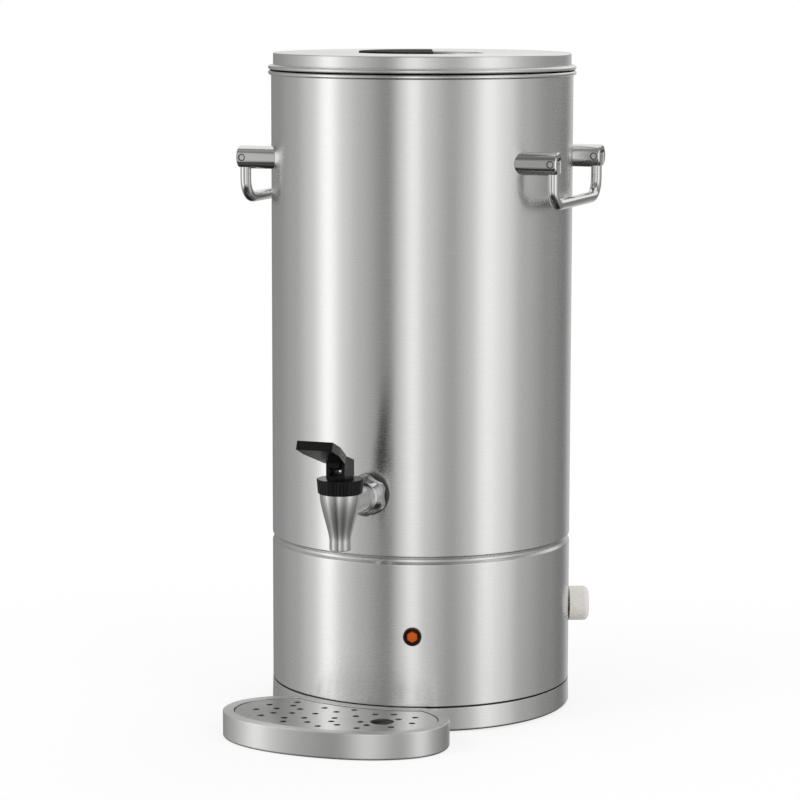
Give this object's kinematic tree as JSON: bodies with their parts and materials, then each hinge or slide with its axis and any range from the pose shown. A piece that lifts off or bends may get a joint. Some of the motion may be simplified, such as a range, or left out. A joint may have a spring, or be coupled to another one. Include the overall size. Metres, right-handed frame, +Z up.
{
  "type": "hot water urn",
  "caption": "Tall double-walled steel urn for hot water with a spring-closed lever tap, drop handles, a lift-off lid, a heat control knob and a loose drip tray.",
  "frame": {"origin": "on the urn's axis at the underside of its foot ring, which is table level", "axes": "+Z up, the tap faces -Y, +X is on the right of someone who stands in front of the tap"},
  "size_m": [0.248, 0.3524, 0.4923],
  "materials": {
    "brushed_steel": "brushed",
    "tank_steel": "satin",
    "handle_steel": "polished",
    "tap_steel": "brushed",
    "bright_chrome": "polished",
    "zinc_steel": "satin",
    "fasteners": "satin",
    "element_steel": "heat stained satin",
    "heater_aluminium": "cast",
    "copper_tube": "satin",
    "brass_stud": "satin",
    "ceramic_body": "matte",
    "grip_plastic": "fine satin",
    "black_plastic": "satin",
    "knob_plastic": "satin",
    "lamp_amber": "translucent",
    "inner_plastic": "matte",
    "wire_cover": "matte",
    "seal_rubber": "matte",
    "foot_rubber": "matte",
    "insulation": "fibrous"
  },
  "bodies": {
    "urn": {"outer_jacket": "brushed_steel", "inner_tank": "tank_steel", "tank_floor": "tank_steel", "insulation_sleeve": "insulation", "joint_ring": "brushed_steel", "lower_housing": "brushed_steel", "base_pan": "brushed_steel", "foot_ring": "foot_rubber", "base_brackets": "zinc_steel", "base_screws": "fasteners", "heater_plate": "heater_aluminium", "heating_element": "element_steel", "heat_shield": "zinc_steel", "shield_studs": "fasteners", "shield_nuts": "fasteners", "boil_dry_cutout": "ceramic_body", "cutout_screws": "fasteners", "thermostat_bulb": "copper_tube", "bulb_clip": "zinc_steel", "thermostat_capillary": "copper_tube", "thermostat_body": "zinc_steel", "thermostat_nut": "fasteners", "lamp_bezel": "black_plastic", "lamp_lens": "lamp_amber", "lamp_holder": "inner_plastic", "lamp_nut": "inner_plastic", "cord_gland": "black_plastic", "gland_nut": "black_plastic", "terminal_block": "inner_plastic", "terminal_clamp_screws": "fasteners", "earth_terminal": "brass_stud", "wiring": "wire_cover", "tap_body": "tap_steel", "tap_union_nut": "bright_chrome", "tap_outer_seal": "seal_rubber", "tap_spacer": "inner_plastic", "tap_inner_seal": "seal_rubber", "tap_lock_nut": "bright_chrome", "tap_ring_nut": "black_plastic", "tap_tower": "black_plastic", "tap_stem_seal": "seal_rubber", "tap_spring": "fasteners", "tap_lever_pin": "fasteners", "left_handle_posts": "handle_steel", "right_handle_posts": "handle_steel", "handle_pins": "fasteners"},
    "lid": {"lid_shell": "brushed_steel", "lid_inner_plate": "brushed_steel", "lid_grip": "grip_plastic", "lid_grip_screws": "fasteners"},
    "tap_lever": {"tap_lever": "black_plastic"},
    "tap_stem": {"tap_stem": "fasteners", "tap_stem_pin": "fasteners", "tap_seat_cup": "seal_rubber"},
    "left_bail": {"left_bail": "handle_steel"},
    "right_bail": {"right_bail": "handle_steel"},
    "thermostat_knob": {"thermostat_knob": "knob_plastic", "thermostat_shaft": "fasteners"},
    "drip_tray": {"drip_tray": "brushed_steel"},
    "drip_grid": {"drip_grid": "brushed_steel"}
  },
  "joints": [
    {"name": "lid_lift", "type": "slide", "parent": "urn", "child": "lid", "axis": [0, 0, 1], "range_m": [0, 0.12]},
    {"name": "tap_lever_press", "type": "hinge", "parent": "urn", "child": "tap_lever", "pos_m": [0, -0.177, 0.2065], "axis": [1, 0, 0], "range_deg": [0, 24], "stiffness_Nm_per_rad": 0.12, "springref_deg": -40.11},
    {"name": "tap_stem_lift", "type": "slide", "parent": "urn", "child": "tap_stem", "axis": [0, 0, 1], "range_m": [0, 0.0026], "deforming": ["tap_spring"]},
    {"name": "left_bail_swing", "type": "hinge", "parent": "urn", "child": "left_bail", "pos_m": [-0.1195, 0, 0.4139], "axis": [0, 1, 0], "range_deg": [0, 90]},
    {"name": "right_bail_swing", "type": "hinge", "parent": "urn", "child": "right_bail", "pos_m": [0.1195, 0, 0.4139], "axis": [0, -1, 0], "range_deg": [0, 90]},
    {"name": "thermostat_turn", "type": "hinge", "parent": "urn", "child": "thermostat_knob", "pos_m": [0.10431, 0.04214, 0.073], "axis": [0.9272, 0.3746, 0], "range_deg": [0, 270]},
    {"name": "tray_slide", "type": "slide", "parent": "urn", "child": "drip_tray", "axis": [0, -1, 0], "range_m": [0, 0.12]},
    {"name": "grid_lift", "type": "slide", "parent": "drip_tray", "child": "drip_grid", "axis": [0, 0, 1], "range_m": [0, 0.04]}
  ],
  "couplings": [
    {"joint": "tap_stem_lift", "follows": "tap_lever_press", "m_per_rad": 0.006089}
  ]
}
